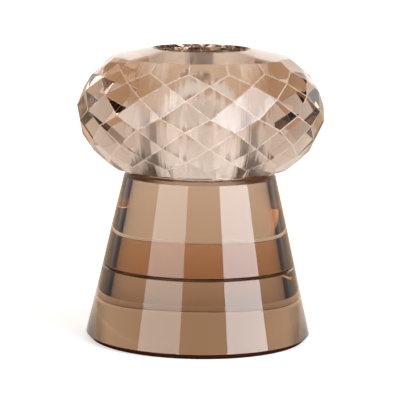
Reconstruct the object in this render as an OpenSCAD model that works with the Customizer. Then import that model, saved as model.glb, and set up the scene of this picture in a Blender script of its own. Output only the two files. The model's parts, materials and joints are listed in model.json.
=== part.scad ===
// Glass candlestick: a faceted glass ball with a candle bore right through it, bonded on top of
// a glass cone that is itself two frustums bonded face to face.
// Millimetres, +Z up. The cone stands on z = 0 and every piece is coaxial with the Z axis.

/* [Cone] */
// Diameter of the cone at the floor, before its edge is polished off
base_d = 55.4; // [40:0.1:90]
// Angle between the cone's side and the vertical, in degrees
cone_angle = 13; // [0:0.5:18]
// Height of the lower frustum, from the floor to its bonded face
lower_cone_h = 18.2; // [8:0.1:30]
// Height of the upper frustum, from bonded face to bonded face
upper_cone_h = 22.4; // [10:0.1:35]
// Polished 45 degree edge at the floor
base_chamfer = 1.3; // [0.3:0.05:2.5]
// Polished 45 degree edge round the top of the cone
top_chamfer = 0.75; // [0.2:0.05:1.5]
// Polished 45 degree edge on each side of the seam, which leaves a fine groove
seam_chamfer = 0.35; // [0.1:0.05:1]

/* [Faceted head] */
// Diameter over the widest corners of the facets
head_d = 60; // [45:0.5:90]
// Facets in each row
facets = 16; // [10:1:24]
// Height of the first ring of corners above the equator
ring_1_z = 1.5; // [1:0.1:2]
// Height of the second ring of corners above the equator
ring_2_z = 5.6; // [5:0.1:6.5]
// Height of the third ring of corners above the equator
ring_3_z = 8.9; // [8:0.1:9.8]
// Height of the fourth ring of corners above the equator
ring_4_z = 11.3; // [10.8:0.1:12]
// Height of the mouth of the bore above the equator
mouth_z = 15.4; // [14.8:0.1:17]
// Depth below the equator of the flat face that is bonded to the cone
seat_depth = 14.7; // [14:0.1:15]
// Fall of the smooth band round the mouth, from the horizontal, in degrees
band_angle = 12; // [6:0.5:18]

/* [Candle bore] */
// Nominal diameter of the dinner candle that the bore takes
candle_d = 22; // [18:0.1:28]
// Gap left round the candle, on the radius
candle_gap = 0.25; // [0.1:0.05:0.5]
// Polished 45 degree edge round the mouth of the bore
mouth_chamfer = 0.75; // [0.1:0.05:1]
// Polished 45 degree edge at the foot of the bore
foot_chamfer = 0.35; // [0.1:0.05:1]

/* [Bonds] */
// Thickness of each film of clear adhesive
bond_t = 0.1; // [0.05:0.01:0.3]
// How far each film stays back from the polished edges round it
bond_setback = 0.1; // [0:0.05:0.5]

/* [Hidden] */
$fn = 96;

HEAD_GLASS = [0.86, 0.76, 0.68];
CONE_GLASS = [0.72, 0.54, 0.36];
ADHESIVE = [0.93, 0.90, 0.82];

// Levels of the bonded faces, from the floor up
cone_bond_z = lower_cone_h;
upper_cone_z = cone_bond_z + bond_t;
head_bond_z = upper_cone_z + upper_cone_h;
seat_z = head_bond_z + bond_t;
equator_z = seat_z + seat_depth;

bore_r = candle_d / 2 + candle_gap;
mouth_r = bore_r + mouth_chamfer;
foot_r = bore_r + foot_chamfer;

// The smooth band under the head, which mirrors the one round the mouth, ends at the flat seat
seat_r = foot_r + (mouth_z - seat_depth) / tan(band_angle);

// The cone's radius at height z, as one straight side through both frustums
function cone_r(z) = base_d / 2 - z * tan(cone_angle);

// Each facet row is a ring of flat cuts, and each row is turned by half a facet from the next,
// so every corner lies on one of two sets of directions. A facet's left and right corners are
// half a facet off its own direction: their midpoint is nearer the axis by this share.
half_step = 180 / facets;
chord = cos(half_step);

// Corners are [radius, height above the equator]. A facet is flat when its upper corner is in
// line with its lower corner and the midpoint of its side corners, all in its own direction.
function in_line(low, side, z) =
    low.x + (side.x * chord - low.x) * (z - low.y) / (side.y - low.y);
function next_corner(low, side, z) = [in_line(low, side, z), z];

ring_1 = [head_d / 2, ring_1_z];
below_1 = [ring_1.x, -ring_1_z];
ring_2 = next_corner(below_1, ring_1, ring_2_z);
ring_3 = next_corner(ring_1, ring_2, ring_3_z);
ring_4 = next_corner(ring_2, ring_3, ring_4_z);

// The last row runs on past the smooth band, which trims it. Its facets meet their neighbours
// along ridges that start at the fourth ring.
trim_z = mouth_z + 1;
ridge_slope = (ring_4.x - ring_3.x / chord) / (ring_4.y - ring_3.y);
trim_ring = [ring_4.x + ridge_slope * (trim_z - ring_4.y), trim_z];

upper_rings = [ring_1, ring_2, ring_3, ring_4, trim_ring];
upper_shifts = [1, 0, 1, 0, 0];
RINGS = len(upper_rings);

// Rings from the bottom to the top: the lower half mirrors the upper one, turned half a facet
head_rings = [
    for (i = [RINGS - 1 : -1 : 0]) [upper_rings[i].x, -upper_rings[i].y],
    for (corner = upper_rings) corner
];
head_shifts = [
    for (i = [RINGS - 1 : -1 : 0]) 1 - upper_shifts[i],
    for (shift = upper_shifts) shift
];

function corner_at(ring, i) =
    let (turn = (2 * i + head_shifts[ring]) * half_step)
    [head_rings[ring].x * cos(turn), head_rings[ring].x * sin(turn), head_rings[ring].y];

// The number of the corner that is i places round a ring
function corner(ring, i) = ring * facets + (i + facets) % facets;

// A four-cornered facet that stands on corner i of a ring and reaches two rings up
function kite(ring, i) =
    let (right = head_shifts[ring] == 0 ? i : i + 1)
    [corner(ring, i), corner(ring + 1, right - 1), corner(ring + 2, i), corner(ring + 1, right)];

LAST = 2 * RINGS - 1;

// A facet of the top row: three corners, then the trimmed edge over them
function top_facet(i) =
    let (right = head_shifts[LAST - 2] == 0 ? i : i + 1)
    [corner(LAST - 2, i), corner(LAST - 1, right - 1), corner(LAST, right - 1),
     corner(LAST, right), corner(LAST - 1, right)];

// The same facet at the bottom, which hangs from the third ring up
function bottom_facet(i) =
    let (right = head_shifts[2] == 0 ? i : i + 1)
    [corner(2, i), corner(1, right), corner(0, right), corner(0, right - 1),
     corner(1, right - 1)];

// The whole faceted ball, before the band and the bore are cut
module faceted_ball() {
    polyhedron(
        points = [for (ring = [0 : LAST], i = [0 : facets - 1]) corner_at(ring, i)],
        faces = [
            [for (i = [0 : facets - 1]) corner(0, i)],
            for (i = [0 : facets - 1]) bottom_facet(i),
            for (ring = [1 : LAST - 3], i = [0 : facets - 1]) kite(ring, i),
            for (i = [0 : facets - 1]) top_facet(i),
            [for (i = [facets - 1 : -1 : 0]) corner(LAST, i)]
        ]
    );
}

// Outline of what the smooth bands, the flat seat and the bore leave, as [radius, height]
module head_section() {
    wide = head_d;
    fall = (wide - mouth_r) * tan(band_angle);
    seat_fall = (wide - seat_r) * tan(band_angle);
    polygon([
        [bore_r, foot_chamfer - seat_depth],
        [foot_r, -seat_depth],
        [seat_r, -seat_depth],
        [wide, seat_fall - seat_depth],
        [wide, mouth_z - fall],
        [mouth_r, mouth_z],
        [bore_r, mouth_z - mouth_chamfer]
    ]);
}

module faceted_head() {
    color(HEAD_GLASS)
    translate([0, 0, equator_z])
    intersection() {
        faceted_ball();
        rotate_extrude() head_section();
    }
}

// A frustum of the cone between two levels, with a polished edge at each end
module frustum(z_low, z_high, low_chamfer, high_chamfer) {
    rotate_extrude()
    polygon([
        [0, z_low],
        [cone_r(z_low + low_chamfer) - low_chamfer, z_low],
        [cone_r(z_low + low_chamfer), z_low + low_chamfer],
        [cone_r(z_high - high_chamfer), z_high - high_chamfer],
        [cone_r(z_high - high_chamfer) - high_chamfer, z_high],
        [0, z_high]
    ]);
}

module lower_cone() {
    color(CONE_GLASS)
    frustum(0, cone_bond_z, base_chamfer, seam_chamfer);
}

module upper_cone() {
    color(CONE_GLASS)
    frustum(upper_cone_z, head_bond_z, seam_chamfer, top_chamfer);
}

// A full disc of adhesive between the two frustums
module cone_bond() {
    bond_r = cone_r(upper_cone_z + seam_chamfer) - seam_chamfer - bond_setback;
    color(ADHESIVE)
    translate([0, 0, cone_bond_z])
    cylinder(r = bond_r, h = bond_t);
}

// A ring of adhesive under the head's flat seat, which leaves the bore clear
module head_bond() {
    color(ADHESIVE)
    translate([0, 0, head_bond_z])
    difference() {
        cylinder(r = seat_r - bond_setback, h = bond_t);
        translate([0, 0, -bond_t]) cylinder(r = foot_r + bond_setback, h = 3 * bond_t);
    }
}

faceted_head();
head_bond();
upper_cone();
cone_bond();
lower_cone();
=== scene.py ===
"""Glass candlestick: a faceted glass head on a two-part glass cone, with its studio."""

import json
import math

import bmesh
import bpy
from mathutils import Matrix, Vector


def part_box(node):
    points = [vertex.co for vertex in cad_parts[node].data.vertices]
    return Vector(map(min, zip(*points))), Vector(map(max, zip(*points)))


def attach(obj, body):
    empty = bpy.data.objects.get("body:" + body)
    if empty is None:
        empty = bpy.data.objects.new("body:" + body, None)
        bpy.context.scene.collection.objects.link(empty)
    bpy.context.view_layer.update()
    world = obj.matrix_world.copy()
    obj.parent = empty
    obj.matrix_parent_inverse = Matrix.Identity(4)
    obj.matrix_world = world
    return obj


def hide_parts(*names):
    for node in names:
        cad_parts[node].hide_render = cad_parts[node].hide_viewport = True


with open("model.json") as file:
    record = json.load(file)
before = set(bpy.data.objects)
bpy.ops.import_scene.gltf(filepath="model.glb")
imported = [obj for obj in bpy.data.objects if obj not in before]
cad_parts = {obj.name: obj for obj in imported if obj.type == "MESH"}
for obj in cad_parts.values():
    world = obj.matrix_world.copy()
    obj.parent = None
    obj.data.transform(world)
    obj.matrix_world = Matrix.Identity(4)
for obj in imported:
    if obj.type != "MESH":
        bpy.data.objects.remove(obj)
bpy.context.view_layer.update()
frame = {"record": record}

MM = 0.001

# ---------------------------------------------------------------- sizes, in millimetres
FACETS = 16
HEAD_R = 30.0
# Heights over the equator of the rings of facet corners. The lower half mirrors them, turned by
# half a facet
RING_HEIGHTS = (1.5, 5.6, 8.9, 11.3)
# Which rings are turned by half a facet. The last ring lies over the mouth
RING_SHIFTS = (1, 0, 1, 0, 0)
TRIM_OVER_MOUTH = 1
MOUTH_OVER_EQUATOR = 15.4
BAND_ANGLE = math.radians(12)
CONE_ANGLE = math.radians(13)
MOUTH_CHAMFER = 0.75
FOOT_CHAMFER = 0.35
BASE_CHAMFER = 1.3
TOP_CHAMFER = 0.75
SEAM_CHAMFER = 0.35
FACET_BEVEL = 0.12
EDGE_ROUND = 0.05
BOND_SETBACK = 0.1
# Each film is drawn thinner by this on both sides, so that its faces don't coincide with the glass
BOND_SHRINK = 0.004

LATHE_STEPS = 360
FLAT_LIMIT = math.radians(1)
CRISP_LIMIT = math.radians(2.5)
BROKEN_EDGE = "broken_edge"


def node_mm(name):
    """Lowest and highest corner of a CAD node, in millimetres."""
    low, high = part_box(name)
    return Vector(low) / MM, Vector(high) / MM


def sines(*degrees):
    """The sine of each elevation."""
    return [math.sin(math.radians(d)) for d in degrees]


HEAD_LOW, HEAD_HIGH = node_mm("faceted_head")
HEAD_BOND_LOW, HEAD_BOND_HIGH = node_mm("head_bond")
UPPER_LOW, UPPER_HIGH = node_mm("upper_cone")
CONE_BOND_LOW, CONE_BOND_HIGH = node_mm("cone_bond")
LOWER_LOW, LOWER_HIGH = node_mm("lower_cone")

BORE_R = next(m["dims"]["r_mm"] for m in frame["record"]["mounts"] if m["name"] == "candle_bore")
MOUTH_R = BORE_R + MOUTH_CHAMFER
FOOT_R = BORE_R + FOOT_CHAMFER
SEAT_R = HEAD_BOND_HIGH.x + BOND_SETBACK
# The cone's radius just over its ground edge at the floor
BASE_R = LOWER_HIGH.x
MOUTH_Z = HEAD_HIGH.z
SEAT_Z = HEAD_LOW.z
EQUATOR_Z = MOUTH_Z - MOUTH_OVER_EQUATOR

# The adhesive wets the glass from an inner to an outer radius. On the cone it looks dry further out
HEAD_FILM = (FOOT_R + BOND_SETBACK, SEAT_R - BOND_SETBACK)
CONE_FILM = (0, 21.8)

# ---------------------------------------------------------------- looks
GLASS_IOR = 1.52
# What the glass takes off red, green and blue, per metre
HEAD_TINT = (13.5, 19.5, 24.5)
UPPER_TINT = (20.0, 28.5, 37.5)
LOWER_TINT = (23.0, 34.0, 46.0)
# Keeps the colour of the absorption off zero in its strongest channel
TINT_HEADROOM = 1.05
# Painted shade: the amber tint of the cone's film stands in for the amber shade that the glass
# casts on the table behind it
CONE_FILM_AMBER_SHADE = (0.906, 0.766, 0.62)
HEAD_FILM_TINT = (0.98, 0.97, 0.95)

BORE_FROST = 0.15
STREAK_STRENGTH = 0.7
STREAK_SCALE = 500
STREAK_DETAIL = 3
STREAK_SQUEEZE = (1, 1, 0.02)
STREAK_DEPTH_MM = 0.3

CHAMFER_DULLNESS = 0.35
# Painted highlight: a light beige diffuse coat on the facets' broken edges
EDGE_HIGHLIGHT_COLOUR = (0.9, 0.82, 0.74)
EDGE_HIGHLIGHT_SHARE = 0.25
# Painted shade: the dark colour of the ground chamfers where they are seen from outside
CHAMFER_SHADE_COLOUR = (0.03, 0.01, 0.005)

# How far a surface may lie from the radius or the level that picks it out, in millimetres
RADIUS_MARGIN = 0.02
LEVEL_MARGIN = 0.01

# ---------------------------------------------------------------- studio, in metres
# The camera and the lights stand this far round from the front, where a facet corner faces
VIEW_TURN = math.radians(6.95)

TABLE_SIZE = 12
TABLE_DROP = 0.00005
TABLE_ROUGHNESS = 0.6
TABLE_GLOW = 0.56
TABLE_WHITE = (0.8, 0.8, 0.8)
TABLE_SHADE = (0.15, 0.1, 0.06)
TABLE_NEAR_SHADE = (0.7, 0.61, 0.53)
TABLE_FAR_SHADE = (0.5, 0.35, 0.22)
# Distance from the axis, and the tone that the glass shows there. These tones are painted shade:
# only rays through the glass see them, and the camera sees the table white
PAINTED_TABLE_SHADES = ((0.022, TABLE_SHADE), (0.028, TABLE_NEAR_SHADE), (0.11, TABLE_NEAR_SHADE), (0.18, TABLE_FAR_SHADE))
TABLE_REACH = 0.2

BOX_DISTANCE = 6.0
BOX_AIM = 0.03
BOX_ELEVATION = math.radians(25)
BOX_HALF_HEIGHT = math.radians(22)
# Name, azimuth and width in degrees, glow, colour; azimuth 0 is at the camera, + is to the right
SOFT_BOXES = (
    ("right_box", 54, 46, 7.3, (0.92, 1.0, 1.1)),
    ("left_box", -41, 45, 3.9, (0.97, 1.0, 1.0)),
)

ROOM_COLOUR = (1.0, 0.72, 0.5)
ROOM_GLOW = 0.12
LIT_COLOUR = (0.8, 0.8, 0.8)
# The wall has its full glow behind and a share of it at the sides and in front. It goes from one
# to the other between these cosines of the angle from straight behind
WALL_ENDS = (0.5, 0.75)
SIDE_SHARE = 0.35
WALL_TOP = sines(18, 23)
WALL_GLOW = 1.25
DIFFUSER_EDGE = sines(55, 65)
DIFFUSER_GLOW = 1.0
# Keeps the division off zero straight overhead
LEAST_REACH = 0.001

CAMERA_DISTANCE, CAMERA_SIDE, CAMERA_HEIGHT = 0.545, 0.00012, 0.119
CAMERA_PITCH, CAMERA_ROLL = math.radians(8.887), math.radians(0.85)
SENSOR_WIDTH_MM, FOCAL_LENGTH_MM = 36.0, 203.49
LIGHT_BOUNCES = 32
GLOSSY_BOUNCES = 16


# ---------------------------------------------------------------- lathe work
def rounded(corners, radius, steps=4, share=0.3):
    """An outline with each corner rounded, as (r, z, hard): hard points end a straight run. No
    rounding takes more than a share of the side next to it."""
    outline = []
    count = len(corners)
    for i, corner in enumerate(corners):
        here = Vector(corner)
        before = Vector(corners[i - 1])
        after = Vector(corners[(i + 1) % count])
        if here.x == 0:
            outline.append((0.0, here.y, True))
            continue
        back = (before - here).normalized()
        on = (after - here).normalized()
        reach = min(radius, share * (before - here).length, share * (after - here).length)
        start, end = here + back * reach, here + on * reach
        for k in range(steps + 1):
            t = k / steps
            point = start * (1 - t) ** 2 + here * 2 * t * (1 - t) + end * t**2
            outline.append((point.x, point.y, k in (0, steps)))
    return outline


def circle(mesh, r, z):
    """A circle of points about Z, or one point on the axis."""
    if r == 0:
        return [mesh.verts.new((0, 0, z * MM))]
    turns = (2 * math.pi * k / LATHE_STEPS for k in range(LATHE_STEPS))
    return [mesh.verts.new((r * MM * math.cos(a), r * MM * math.sin(a), z * MM)) for a in turns]


def lathe(name, outline, ring=False):
    """A solid turned about Z from (r, z, hard) points. A ring's outline closes on itself."""
    mesh = bmesh.new()
    circles = [circle(mesh, r, z) for r, z, _ in outline]
    following = circles[1:] + circles[:1] if ring else circles[1:]
    for low, high in zip(circles, following):
        for k in range(LATHE_STEPS):
            n = (k + 1) % LATHE_STEPS
            if len(low) == 1:
                mesh.faces.new((low[0], high[n], high[k]))
            elif len(high) == 1:
                mesh.faces.new((low[k], low[n], high[0]))
            else:
                mesh.faces.new((low[k], low[n], high[n], high[k]))
    for points, (_, _, hard) in zip(circles, outline):
        if hard and len(points) > 1:
            for k in range(LATHE_STEPS):
                mesh.edges.get((points[k], points[(k + 1) % LATHE_STEPS])).smooth = False
    for face in mesh.faces:
        face.smooth = True
    bmesh.ops.recalc_face_normals(mesh, faces=mesh.faces)
    return as_object(name, mesh)


def as_object(name, mesh):
    data = bpy.data.meshes.new(name)
    mesh.to_mesh(data)
    mesh.free()
    return in_scene(name, data)


def in_scene(name, data):
    piece = bpy.data.objects.new(name, data)
    bpy.context.scene.collection.objects.link(piece)
    return piece


# ---------------------------------------------------------------- the faceted head
def facet_rings():
    """Corners of the facets as (radius, height over the equator), from the equator to the mouth.
    The last ring lies over the mouth, where the smooth band cuts it off."""
    chord = math.cos(math.pi / FACETS)

    def in_line(low, side, z):
        return Vector((low.x + (side.x * chord - low.x) * (z - low.y) / (side.y - low.y), z))

    rings = [Vector((HEAD_R, RING_HEIGHTS[0]))]
    low = Vector((HEAD_R, -RING_HEIGHTS[0]))
    for height in RING_HEIGHTS[1:]:
        rings.append(in_line(low, rings[-1], height))
        low = rings[-2]
    third, fourth = rings[-2], rings[-1]
    slope = (fourth.x - third.x / chord) / (fourth.y - third.y)
    top = MOUTH_Z - EQUATOR_Z + TRIM_OVER_MOUTH
    rings.append(Vector((fourth.x + slope * (top - fourth.y), top)))
    return rings


def faceted_ball():
    """The ball before its bands and bore are cut: rows of flat facets, each edge just broken."""
    rings = facet_rings()
    levels = [(r.x, -r.y, 1 - s) for r, s in zip(reversed(rings), reversed(RING_SHIFTS))]
    levels += [(r.x, r.y, s) for r, s in zip(rings, RING_SHIFTS)]
    mesh = bmesh.new()
    for radius, height, shift in levels:
        for i in range(FACETS):
            turn = (2 * i + shift) * math.pi / FACETS
            x, y = radius * MM * math.cos(turn), radius * MM * math.sin(turn)
            mesh.verts.new((x, y, (EQUATOR_Z + height) * MM))
    bmesh.ops.convex_hull(mesh, input=mesh.verts)
    bmesh.ops.dissolve_limit(mesh, angle_limit=FLAT_LIMIT, verts=mesh.verts, edges=mesh.edges)
    broken = mesh.faces.layers.float.new(BROKEN_EDGE)
    bevels = bmesh.ops.bevel(
        mesh,
        geom=list(mesh.edges),
        offset=FACET_BEVEL * MM,
        offset_type="OFFSET",
        segments=1,
        affect="EDGES",
        clamp_overlap=True,
    )
    for face in bevels["faces"]:
        face[broken] = 1
    return as_object("faceted_ball", mesh)


def turned_blank():
    """What the smooth bands, the flat seat and the bore leave of the ball."""
    wide = 2 * HEAD_R
    fall = (wide - MOUTH_R) * math.tan(BAND_ANGLE)
    rise = (wide - SEAT_R) * math.tan(BAND_ANGLE)
    corners = [
        (BORE_R, SEAT_Z + FOOT_CHAMFER),
        (FOOT_R, SEAT_Z),
        (SEAT_R, SEAT_Z),
        (wide, SEAT_Z + rise),
        (wide, MOUTH_Z - fall),
        (MOUTH_R, MOUTH_Z),
        (BORE_R, MOUTH_Z - MOUTH_CHAMFER),
    ]
    return lathe("turned_blank", rounded(corners, EDGE_ROUND), ring=True)


def faceted_head():
    blank = turned_blank()
    ball = faceted_ball()
    cut = ball.modifiers.new("cut", "BOOLEAN")
    cut.operation = "INTERSECT"
    cut.solver = "EXACT"
    cut.object = blank
    graph = bpy.context.evaluated_depsgraph_get()
    data = bpy.data.meshes.new_from_object(ball.evaluated_get(graph))
    for helper in (ball, blank):
        bpy.data.objects.remove(helper, do_unlink=True)
    data.shade_smooth()
    mark_sharp(data, CRISP_LIMIT)
    return in_scene("cut_glass_head", data)


def mark_sharp(data, limit):
    """Edges that bend more than limit stay crisp."""
    mesh = bmesh.new()
    mesh.from_mesh(data)
    for edge in mesh.edges:
        edge.smooth = len(edge.link_faces) == 2 and edge.calc_face_angle() < limit
    mesh.to_mesh(data)
    mesh.free()


# ---------------------------------------------------------------- the cone and the adhesive
def cone_r(z):
    return BASE_R - (z - BASE_CHAMFER) * math.tan(CONE_ANGLE)


def frustum(name, low, high, low_chamfer, high_chamfer):
    low_r, high_r = cone_r(low + low_chamfer), cone_r(high - high_chamfer)
    corners = [
        (0, low),
        (low_r - low_chamfer, low),
        (low_r, low + low_chamfer),
        (high_r, high - high_chamfer),
        (high_r - high_chamfer, high),
        (0, high),
    ]
    return lathe(name, rounded(corners, EDGE_ROUND))


def bond_disc(name, low, high, radius, hole=0):
    low, high = low + BOND_SHRINK, high - BOND_SHRINK
    corners = [(hole, low), (radius, low), (radius, high), (hole, high)]
    return lathe(name, [(r, z, True) for r, z in corners], ring=hole > 0)


# ---------------------------------------------------------------- materials
class Nodes:
    """Short hand for the node tree of a material or a world."""

    def __init__(self, owner):
        owner.use_nodes = True
        self.owner = owner
        self.tree = owner.node_tree
        self.tree.nodes.clear()

    def add(self, kind, **values):
        node = self.tree.nodes.new(kind)
        for key, value in values.items():
            setattr(node, key, value)
        return node

    def link(self, source, target):
        self.tree.links.new(source, target)

    def math(self, operation, a, b=None):
        node = self.add("ShaderNodeMath", operation=operation)
        for socket, value in zip(node.inputs, (a, b)):
            if value is None:
                continue
            if isinstance(value, (int, float)):
                socket.default_value = value
            else:
                self.link(value, socket)
        return node.outputs[0]

    def length(self, x, y):
        squares = self.math("ADD", self.math("POWER", x, 2), self.math("POWER", y, 2))
        return self.math("SQRT", squares)

    def step(self, value, low, high, bottom, top):
        """A smooth step from bottom to top as value goes from low to high."""
        node = self.add("ShaderNodeMapRange", interpolation_type="SMOOTHSTEP")
        self.link(value, node.inputs["Value"])
        node.inputs["From Min"].default_value = low
        node.inputs["From Max"].default_value = high
        node.inputs["To Min"].default_value = bottom
        node.inputs["To Max"].default_value = top
        return node.outputs[0]

    def coloured(self, kind, colour):
        """A shader of one colour."""
        node = self.add(kind)
        node.inputs["Color"].default_value = (*colour, 1)
        return node

    def blend(self, factor, first, second):
        """One shader that gives way to another as the factor goes from 0 to 1."""
        mix = self.add("ShaderNodeMixShader")
        for socket, source in zip(mix.inputs, (factor, first, second)):
            self.link(source, socket)
        return mix.outputs[0]


def absorption(nodes, per_metre):
    """Volume absorption from what the glass takes off each colour, per metre."""
    most = max(per_metre) * TINT_HEADROOM
    node = nodes.coloured("ShaderNodeVolumeAbsorption", [1 - s / most for s in per_metre])
    node.inputs["Density"].default_value = most
    return node.outputs[0]


def place_on(nodes):
    """Height and distance from the axis of a point on the piece, in metres."""
    axes = nodes.add("ShaderNodeSeparateXYZ")
    nodes.link(nodes.add("ShaderNodeTexCoord").outputs["Object"], axes.inputs[0])
    return axes.outputs["Z"], nodes.length(axes.outputs["X"], axes.outputs["Y"])


def bore_streaks(nodes, where):
    """Lengthwise polishing streaks on the bore's wall, as a bent normal."""
    squeeze = nodes.add("ShaderNodeMapping")
    squeeze.inputs["Scale"].default_value = STREAK_SQUEEZE
    nodes.link(nodes.add("ShaderNodeTexCoord").outputs["Object"], squeeze.inputs["Vector"])
    noise = nodes.add("ShaderNodeTexNoise")
    noise.inputs["Scale"].default_value = STREAK_SCALE
    noise.inputs["Detail"].default_value = STREAK_DETAIL
    nodes.link(squeeze.outputs[0], noise.inputs["Vector"])
    bump = nodes.add("ShaderNodeBump")
    bump.inputs["Distance"].default_value = STREAK_DEPTH_MM * MM
    nodes.link(nodes.math("MULTIPLY", where, STREAK_STRENGTH), bump.inputs["Strength"])
    nodes.link(noise.outputs["Fac"], bump.inputs["Height"])
    return bump.outputs[0]


def dull_highlighted_edges(nodes, surface):
    """The facets' edges are broken by hand, so they are dull; their light beige coat is a painted
    highlight that draws them as light lines.
    """
    edge = nodes.add("ShaderNodeAttribute", attribute_name=BROKEN_EDGE)
    dull = nodes.coloured("ShaderNodeBsdfDiffuse", EDGE_HIGHLIGHT_COLOUR)
    amount = nodes.math("MULTIPLY", edge.outputs["Fac"], EDGE_HIGHLIGHT_SHARE)
    return nodes.blend(amount, surface, dull.outputs[0])


def shaded_ground_edge(nodes):
    """A ground chamfer under a piece. From outside it has a dark diffuse coat, which is painted
    shade, and from within the glass it is clear."""
    outside = nodes.coloured("ShaderNodeBsdfDiffuse", CHAMFER_SHADE_COLOUR)
    within = nodes.add("ShaderNodeBsdfTransparent")
    behind = nodes.add("ShaderNodeNewGeometry").outputs["Backfacing"]
    return nodes.blend(behind, outside.outputs[0], within.outputs[0])


def glass(name, tint, films, is_head=False, chamfer_under=None, chamfer_over=None):
    """Polished glass. films lists (level, inner radius, outer radius) of the adhesive on its flat
    faces, which matches the glass, so nothing bends or shines there. The head has a satin bore and
    broken facet edges with a painted highlight. chamfer_under is ground and has a dark coat of
    painted shade from outside, and chamfer_over is dull, each as (level, inner radius)."""
    nodes = Nodes(bpy.data.materials.new(name))
    shader = nodes.add("ShaderNodeBsdfPrincipled")
    shader.inputs["Transmission Weight"].default_value = 1
    shader.inputs["Roughness"].default_value = 0
    shader.inputs["IOR"].default_value = GLASS_IOR
    shader.inputs["Base Color"].default_value = (1, 1, 1, 1)
    surface = shader.outputs[0]
    height, radius = place_on(nodes)
    if is_head:
        bore = nodes.math("LESS_THAN", radius, (BORE_R + RADIUS_MARGIN) * MM)
        nodes.link(nodes.math("MULTIPLY", bore, BORE_FROST), shader.inputs["Roughness"])
        nodes.link(bore_streaks(nodes, bore), shader.inputs["Normal"])
        surface = dull_highlighted_edges(nodes, surface)
    if chamfer_over:
        bottom, inner = chamfer_over
        above = nodes.math("GREATER_THAN", height, bottom * MM)
        where = nodes.math("MULTIPLY", above, nodes.math("GREATER_THAN", radius, inner * MM))
        nodes.link(nodes.math("MULTIPLY", where, CHAMFER_DULLNESS), shader.inputs["Roughness"])
    # The chamfer under the piece gets a dark coat from outside: painted shade
    if chamfer_under:
        top, inner = chamfer_under
        below = nodes.math("LESS_THAN", height, top * MM)
        where = nodes.math("MULTIPLY", below, nodes.math("GREATER_THAN", radius, inner * MM))
        surface = nodes.blend(where, surface, shaded_ground_edge(nodes))
    for level, inner, outer in films:
        gap = nodes.math("ABSOLUTE", nodes.math("SUBTRACT", height, level * MM))
        wet = nodes.math("LESS_THAN", gap, LEVEL_MARGIN * MM)
        wet = nodes.math("MULTIPLY", wet, nodes.math("LESS_THAN", radius, outer * MM))
        if inner:
            wet = nodes.math("MULTIPLY", wet, nodes.math("GREATER_THAN", radius, inner * MM))
        clear = nodes.add("ShaderNodeBsdfTransparent")
        surface = nodes.blend(wet, surface, clear.outputs[0])
    output = nodes.add("ShaderNodeOutputMaterial")
    nodes.link(surface, output.inputs["Surface"])
    nodes.link(absorption(nodes, tint), output.inputs["Volume"])
    return nodes.owner


def clear_film(name, tint):
    nodes = Nodes(bpy.data.materials.new(name))
    output = nodes.add("ShaderNodeOutputMaterial")
    clear = nodes.coloured("ShaderNodeBsdfTransparent", tint)
    nodes.link(clear.outputs[0], output.inputs["Surface"])
    return nodes.owner


def under_chamfer(level, chamfer):
    """The top and the inner radius of the chamfer under a piece."""
    return level + chamfer, cone_r(level + chamfer) - chamfer + RADIUS_MARGIN


def over_chamfer(level, chamfer):
    """The bottom and the inner radius of the chamfer on top of a piece."""
    return level - chamfer, cone_r(level - chamfer) - chamfer + RADIUS_MARGIN


# ---------------------------------------------------------------- the pieces
def put(piece, node, material):
    """Gives a piece its material and sets it in the place of a CAD node."""
    piece.data.materials.append(material)
    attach(piece, "root")
    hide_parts(node)


put(
    faceted_head(),
    "faceted_head",
    glass("head_glass", HEAD_TINT, [(SEAT_Z, *HEAD_FILM)], is_head=True),
)
put(
    frustum("upper_cone_glass", UPPER_LOW.z, UPPER_HIGH.z, SEAM_CHAMFER, TOP_CHAMFER),
    "upper_cone",
    glass(
        "upper_cone_glass",
        UPPER_TINT,
        [(UPPER_LOW.z, *CONE_FILM), (UPPER_HIGH.z, *HEAD_FILM)],
        chamfer_under=under_chamfer(UPPER_LOW.z, SEAM_CHAMFER),
        chamfer_over=over_chamfer(UPPER_HIGH.z, TOP_CHAMFER),
    ),
)
put(
    frustum("lower_cone_glass", LOWER_LOW.z, LOWER_HIGH.z, BASE_CHAMFER, SEAM_CHAMFER),
    "lower_cone",
    glass(
        "lower_cone_glass",
        LOWER_TINT,
        [(LOWER_HIGH.z, *CONE_FILM)],
        chamfer_under=under_chamfer(LOWER_LOW.z, BASE_CHAMFER),
    ),
)
put(
    bond_disc("cone_adhesive", CONE_BOND_LOW.z, CONE_BOND_HIGH.z, CONE_FILM[1]),
    "cone_bond",
    # The cone's film is tinted amber as painted shade
    clear_film("adhesive", CONE_FILM_AMBER_SHADE),
)
put(
    bond_disc(
        "head_adhesive", HEAD_BOND_LOW.z, HEAD_BOND_HIGH.z, HEAD_BOND_HIGH.x, HEAD_FILM[0]
    ),
    "head_bond",
    clear_film("head_adhesive", HEAD_FILM_TINT),
)


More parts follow.
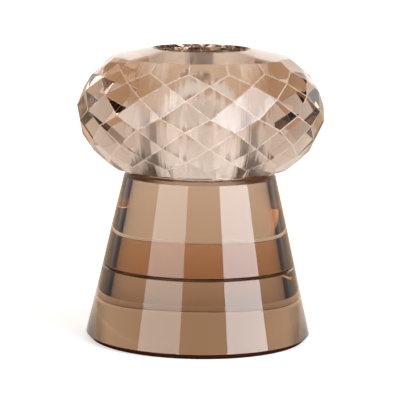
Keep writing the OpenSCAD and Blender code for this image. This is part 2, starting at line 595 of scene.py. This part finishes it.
# ---------------------------------------------------------------- table, lights and room
def table_material():
    """A white table, lit from within, which the camera sees plain white. Through the glass it shows
    painted shade in warmer and darker tones: the shade under the foot, the table round it and the
    table further off."""
    nodes = Nodes(bpy.data.materials.new("light_table"))
    output = nodes.add("ShaderNodeOutputMaterial")
    shader = nodes.add("ShaderNodeBsdfPrincipled")
    shader.inputs["Roughness"].default_value = TABLE_ROUGHNESS
    shader.inputs["Emission Strength"].default_value = TABLE_GLOW
    _, radius = place_on(nodes)
    ramp = nodes.add("ShaderNodeValToRGB")
    stops = ramp.color_ramp.elements
    while len(stops) < len(PAINTED_TABLE_SHADES):
        stops.new(1)
    for stop, (reach, tone) in zip(stops, PAINTED_TABLE_SHADES):
        stop.position = reach / TABLE_REACH
        stop.color = (*tone, 1)
    nodes.link(nodes.math("DIVIDE", radius, TABLE_REACH), ramp.inputs[0])
    # Painted shade: camera rays get the white, all other rays the shaded tones
    mix = nodes.add("ShaderNodeMix", data_type="RGBA")
    nodes.link(nodes.add("ShaderNodeLightPath").outputs["Is Camera Ray"], mix.inputs["Factor"])
    nodes.link(ramp.outputs["Color"], mix.inputs["A"])
    mix.inputs["B"].default_value = (*TABLE_WHITE, 1)
    nodes.link(mix.outputs["Result"], shader.inputs["Base Color"])
    nodes.link(mix.outputs["Result"], shader.inputs["Emission Color"])
    nodes.link(shader.outputs[0], output.inputs["Surface"])
    return nodes.owner


def table():
    mesh = bmesh.new()
    lower = Matrix.Translation((0, 0, -TABLE_DROP))
    bmesh.ops.create_grid(mesh, x_segments=1, y_segments=1, size=TABLE_SIZE / 2, matrix=lower)
    top = as_object("floor", mesh)
    top.data.materials.append(table_material())


def soft_box(name, azimuth, width, glow, colour):
    """A soft box aimed at the candlestick. It stands well back, so that the floor is evenly lit."""
    data = bpy.data.lights.new(name, "AREA")
    data.shape = "RECTANGLE"
    across = 2 * BOX_DISTANCE * math.tan(math.radians(width / 2))
    tall = 2 * BOX_DISTANCE * math.tan(BOX_HALF_HEIGHT)
    data.size, data.size_y = across, tall
    data.energy = glow * math.pi * across * tall
    data.color = colour
    lamp = in_scene(name, data)
    a, e = math.radians(azimuth) + VIEW_TURN, BOX_ELEVATION
    back = Vector((math.sin(a) * math.cos(e), -math.cos(a) * math.cos(e), math.sin(e)))
    lamp.location = back * BOX_DISTANCE + Vector((0, 0, BOX_AIM))
    lamp.rotation_mode = "QUATERNION"
    lamp.rotation_quaternion = back.to_track_quat("Z", "Y")


def studio_room():
    """A dim warm room with an overhead diffuser and a low wall all round, brightest behind."""
    nodes = Nodes(bpy.data.worlds.new("studio"))
    turn = nodes.add("ShaderNodeMapping")
    turn.inputs["Rotation"].default_value[2] = -VIEW_TURN
    nodes.link(nodes.add("ShaderNodeTexCoord").outputs["Generated"], turn.inputs["Vector"])
    axes = nodes.add("ShaderNodeSeparateXYZ")
    nodes.link(turn.outputs[0], axes.inputs[0])
    x, y, z = (axes.outputs[name] for name in "XYZ")
    facing = nodes.math("DIVIDE", y, nodes.math("MAXIMUM", nodes.length(x, y), LEAST_REACH))
    round_share = nodes.step(facing, *WALL_ENDS, SIDE_SHARE, 1)
    wall = nodes.math("MULTIPLY", round_share, nodes.step(z, *WALL_TOP, WALL_GLOW, 0))
    overhead = nodes.step(z, *DIFFUSER_EDGE, 0, DIFFUSER_GLOW)
    lit = nodes.coloured("ShaderNodeBackground", LIT_COLOUR)
    nodes.link(nodes.math("MAXIMUM", wall, overhead), lit.inputs["Strength"])
    dim = nodes.coloured("ShaderNodeBackground", ROOM_COLOUR)
    dim.inputs["Strength"].default_value = ROOM_GLOW
    both = nodes.add("ShaderNodeAddShader")
    nodes.link(lit.outputs[0], both.inputs[0])
    nodes.link(dim.outputs[0], both.inputs[1])
    output = nodes.add("ShaderNodeOutputWorld")
    nodes.link(both.outputs[0], output.inputs["Surface"])
    bpy.context.scene.world = nodes.owner


table()
for box in SOFT_BOXES:
    soft_box(*box)
studio_room()

# ---------------------------------------------------------------- camera
camera_data = bpy.data.cameras.new("camera")
camera_data.sensor_width = SENSOR_WIDTH_MM
camera_data.lens = FOCAL_LENGTH_MM
camera = in_scene("camera", camera_data)
round_to_view = Matrix.Rotation(VIEW_TURN, 3, "Z")
camera.location = round_to_view @ Vector((CAMERA_SIDE, -CAMERA_DISTANCE, CAMERA_HEIGHT))
camera.rotation_euler = (
    round_to_view
    @ Matrix.Rotation(math.pi / 2 - CAMERA_PITCH, 3, "X")
    @ Matrix.Rotation(CAMERA_ROLL, 3, "Z")
).to_euler()
bpy.context.scene.camera = camera

bpy.context.scene.view_settings.view_transform = "Standard"
light_paths = bpy.context.scene.cycles
light_paths.max_bounces = LIGHT_BOUNCES
light_paths.transmission_bounces = LIGHT_BOUNCES
light_paths.transparent_max_bounces = LIGHT_BOUNCES
light_paths.glossy_bounces = GLOSSY_BOUNCES
